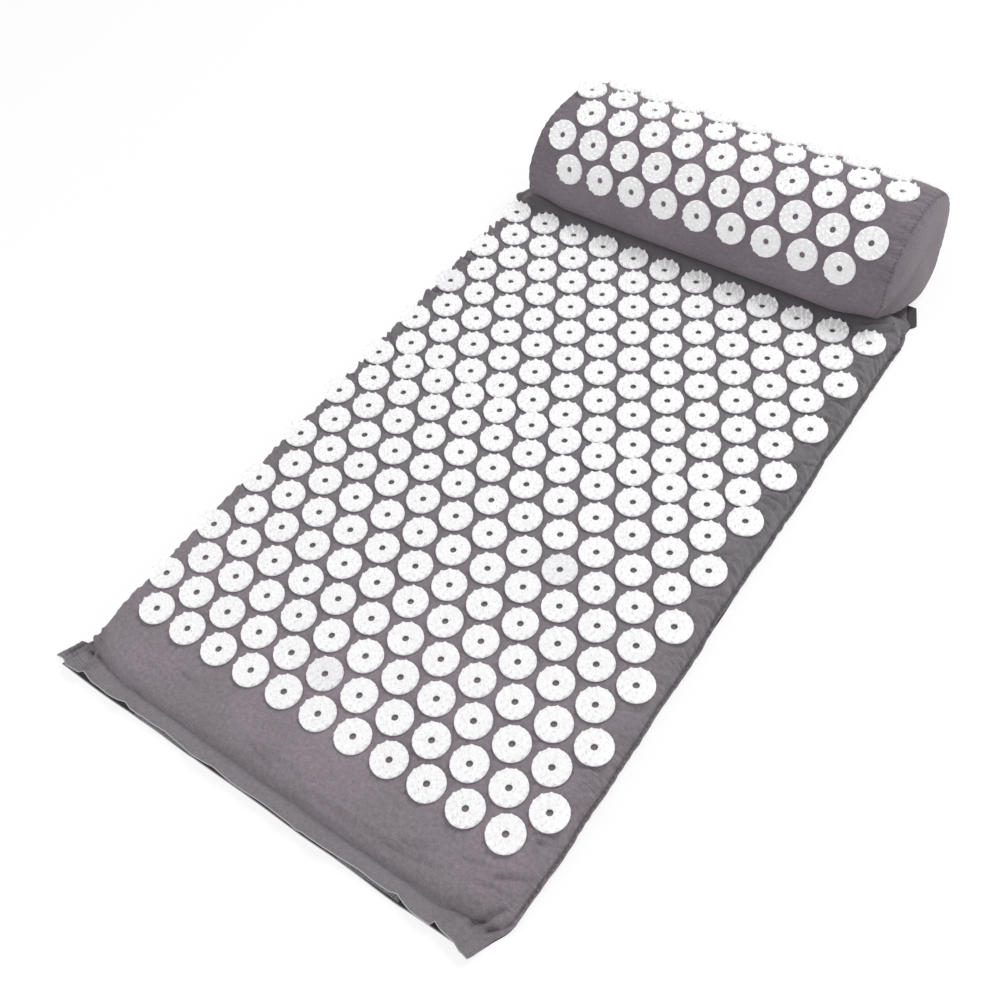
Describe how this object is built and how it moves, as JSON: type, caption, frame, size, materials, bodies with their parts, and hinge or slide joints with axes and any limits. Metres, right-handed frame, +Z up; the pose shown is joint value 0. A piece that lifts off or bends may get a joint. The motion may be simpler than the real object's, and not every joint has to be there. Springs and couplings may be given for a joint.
{
  "type": "acupressure mat",
  "caption": "Acupressure mat of spiked plastic discs welded in rows on a padded grey cloth cover, with a half-round neck pillow, also covered in discs, leaning on its far end.",
  "frame": {"origin": "middle of the mat's flat underside, where it lies on the floor", "axes": "+Y along the mat from the cover's open end towards the pillow, +Z up, +X across the mat to the right"},
  "size_m": [0.4296, 0.7747, 0.1193],
  "materials": {
    "cloth": "matte woven cotton",
    "foam": "open-cell foam",
    "tape": "hook and loop closure tape",
    "disc": "moulded, semi-gloss"
  },
  "bodies": {
    "mat": {"mat_foam": "foam", "mat_top_cover": "cloth", "mat_bottom_cover": "cloth", "hook_patch_left": "tape", "hook_patch_right": "tape", "mat_disc_row_01": "disc", "mat_disc_row_02": "disc", "mat_disc_row_03": "disc", "mat_disc_row_04": "disc", "mat_disc_row_05": "disc", "mat_disc_row_06": "disc", "mat_disc_row_07": "disc", "mat_disc_row_08": "disc", "mat_disc_row_09": "disc", "mat_disc_row_10": "disc", "mat_disc_row_11": "disc", "mat_disc_row_12": "disc", "mat_disc_row_13": "disc", "mat_disc_row_14": "disc", "mat_disc_row_15": "disc", "mat_disc_row_16": "disc", "mat_disc_row_17": "disc", "mat_disc_row_18": "disc", "mat_disc_row_19": "disc", "mat_disc_row_20": "disc"},
    "upper_lip": {"hem_upper_lip": "cloth", "loop_patch_left": "tape", "loop_patch_right": "tape"},
    "pillow": {"pillow_core": "foam", "pillow_cover": "cloth", "pillow_base": "cloth", "pillow_end_left": "cloth", "pillow_end_right": "cloth", "pillow_disc_row_1": "disc", "pillow_disc_row_2": "disc", "pillow_disc_row_3": "disc", "pillow_disc_row_4": "disc", "pillow_disc_row_5": "disc", "pillow_disc_row_6": "disc", "pillow_disc_row_7": "disc"}
  },
  "joints": [
    {"name": "upper_lip_hinge", "type": "hinge", "parent": "mat", "child": "upper_lip", "pos_m": [0, -0.33, 0.0053], "axis": [-1, 0, 0], "range_deg": [0, 120]},
    {"name": "pillow_lift", "type": "slide", "parent": "mat", "child": "pillow", "axis": [0, 0, 1], "range_m": [0, 0.15]}
  ]
}
